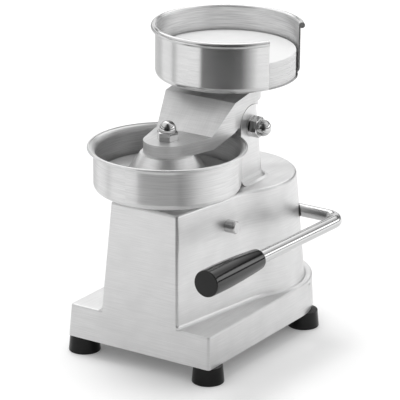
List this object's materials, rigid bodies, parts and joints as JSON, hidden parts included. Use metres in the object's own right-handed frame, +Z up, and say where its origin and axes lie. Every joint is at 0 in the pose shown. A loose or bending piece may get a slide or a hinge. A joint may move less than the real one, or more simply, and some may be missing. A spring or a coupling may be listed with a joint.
{
  "type": "burger press",
  "caption": "Table-top patty press: cast stand, fixed moulding bowl, hinged arm with press plate and paper bowl, side lever that also lifts an ejector plate.",
  "frame": {"origin": "middle of the machine's footprint, on the table under the rubber feet", "axes": "+Z up, -Y to the user at the front, +X to the side with the handle"},
  "size_m": [0.1986, 0.2838, 0.2928],
  "materials": {
    "cast_aluminium": "satin ground casting",
    "turned_aluminium": "fine turned",
    "brushed_stainless": "brushed stainless steel",
    "polished_stainless": "polished stainless rod",
    "bright_nuts": "bright plated",
    "turned_steel": "turned steel",
    "bronze_bush": "sintered bronze",
    "black_rubber": "matt black rubber",
    "black_grip": "polished black phenolic",
    "waxed_paper": "white waxed paper discs"
  },
  "bodies": {
    "stand": {"base_casting": "cast_aluminium", "foot_front_left": "black_rubber", "foot_front_right": "black_rubber", "foot_rear_left": "black_rubber", "foot_rear_right": "black_rubber", "foot_screws": "turned_steel", "lower_bowl": "brushed_stainless", "bowl_screws": "turned_steel", "ejector_bush": "bronze_bush", "shaft_bush_inner": "bronze_bush", "shaft_bush_outer": "bronze_bush", "rocker_pin": "polished_stainless", "rocker_washers": "turned_steel", "hinge_bolt": "turned_steel", "hinge_washers": "bright_nuts", "hinge_cap_nut": "bright_nuts"},
    "arm": {"press_arm": "cast_aluminium", "hinge_bush_left": "bronze_bush", "hinge_bush_right": "bronze_bush", "link_pivot_pin": "turned_steel", "press_plate": "turned_aluminium", "plate_stud": "turned_steel", "plate_cap_nut": "bright_nuts", "paper_bowl": "brushed_stainless", "paper_bowl_screws": "turned_steel", "paper_stack": "waxed_paper"},
    "handle": {"handle_bar": "polished_stainless", "handle_grip": "black_grip", "handle_crank": "turned_steel", "crank_pins": "turned_steel", "crank_cross_pin": "turned_steel", "shaft_collar": "turned_steel"},
    "press_link": {"press_link": "turned_steel"},
    "ejector_link": {"ejector_link": "turned_steel"},
    "rocker": {"ejector_rocker": "turned_steel", "rocker_spacers": "turned_steel", "rocker_link_pin": "turned_steel", "roller_pin": "turned_steel"},
    "roller": {"ejector_roller": "turned_steel"},
    "ejector": {"ejector_plate": "brushed_stainless", "ejector_stem": "polished_stainless", "ejector_screw": "turned_steel"}
  },
  "joints": [
    {"name": "handle_turn", "type": "hinge", "parent": "stand", "child": "handle", "pos_m": [-0.0165, 0.08945, 0.1125], "axis": [-1, 0, 0], "range_deg": [0, 55]},
    {"name": "arm_swing", "type": "hinge", "parent": "stand", "child": "arm", "pos_m": [-0.0165, 0.03525, 0.2054], "axis": [-1, 0, 0], "range_deg": [0, 55]},
    {"name": "press_link_pivot", "type": "hinge", "parent": "arm", "child": "press_link", "pos_m": [-0.0165, 0.0472, 0.20645], "axis": [-1, 0, 0], "range_deg": [-55, 0]},
    {"name": "ejector_link_pivot", "type": "hinge", "parent": "handle", "child": "ejector_link", "pos_m": [-0.0165, 0.09868, 0.09476], "axis": [-1, 0, 0], "range_deg": [-55, 0]},
    {"name": "rocker_turn", "type": "hinge", "parent": "stand", "child": "rocker", "pos_m": [-0.0165, -0.01905, 0.126], "axis": [-1, 0, 0], "range_deg": [0, 55]},
    {"name": "roller_spin", "type": "hinge", "parent": "rocker", "child": "roller", "pos_m": [-0.0165, -0.04513, 0.11242], "axis": [-1, 0, 0], "continuous": true},
    {"name": "ejector_lift", "type": "slide", "parent": "stand", "child": "ejector", "axis": [0, 0, 1], "range_m": [0, 0.02716]}
  ],
  "couplings": [
    {"joint": "arm_swing", "follows": "handle_turn", "ratio": 1},
    {"joint": "press_link_pivot", "follows": "handle_turn", "ratio": -1},
    {"joint": "ejector_link_pivot", "follows": "handle_turn", "ratio": -1},
    {"joint": "rocker_turn", "follows": "handle_turn", "ratio": 1},
    {"joint": "ejector_lift", "follows": "handle_turn", "m_per_rad": 0.028284}
  ]
}
